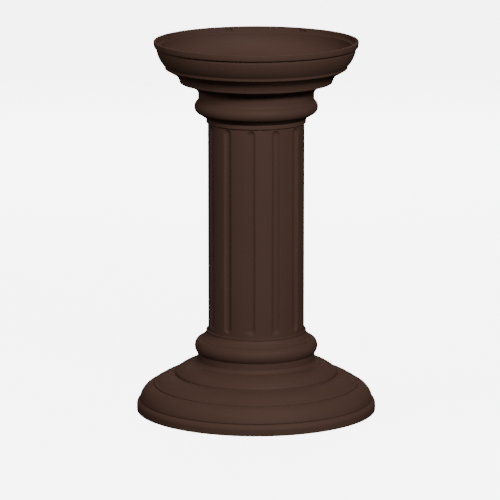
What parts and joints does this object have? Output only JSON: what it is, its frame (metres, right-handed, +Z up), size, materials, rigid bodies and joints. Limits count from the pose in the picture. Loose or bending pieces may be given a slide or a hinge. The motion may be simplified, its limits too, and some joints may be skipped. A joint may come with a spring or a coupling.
{
  "type": "decorative pedestal cover",
  "caption": "Round fluted column cover with a stepped base and a moulded capital, split into half shells to close round a mailbox pedestal.",
  "frame": {"origin": "centre of the foot flange, on the floor", "axes": "+Z up along the column, front faces -Y, the seams between the half shells are at +X and -X"},
  "size_m": [0.4572, 0.457, 0.711],
  "materials": {
    "bronze_powder_coat": "satin dark bronze powder coat on cast and extruded aluminium",
    "stainless": "turned stainless steel fasteners",
    "mill_aluminium": "mill finish aluminium",
    "black_oxide": "black oxide set screws"
  },
  "bodies": {
    "shaft": {"shaft_front_half": "bronze_powder_coat", "shaft_rear_half": "bronze_powder_coat", "shaft_left_strap": "mill_aluminium", "shaft_right_strap": "mill_aluminium", "shaft_strap_screws": "stainless", "lower_spacer_front": "mill_aluminium", "lower_spacer_rear": "mill_aluminium", "upper_spacer_front": "mill_aluminium", "upper_spacer_rear": "mill_aluminium", "spacer_screws": "stainless"},
    "base": {"base_front_half": "bronze_powder_coat", "base_rear_half": "bronze_powder_coat", "base_joint_screws": "stainless", "base_joint_washers": "stainless", "base_joint_nuts": "stainless", "base_set_screws": "black_oxide"},
    "capital": {"capital_front_half": "bronze_powder_coat", "capital_rear_half": "bronze_powder_coat", "capital_joint_screws": "stainless", "capital_joint_washers": "stainless", "capital_joint_nuts": "stainless", "capital_set_screws": "black_oxide"}
  },
  "joints": [
    {"name": "base_slide", "type": "slide", "parent": "shaft", "child": "base", "axis": [0, 0, 1], "range_m": [0, 0.2]},
    {"name": "capital_slide", "type": "slide", "parent": "shaft", "child": "capital", "axis": [0, 0, 1], "range_m": [-0.16, 0]}
  ]
}
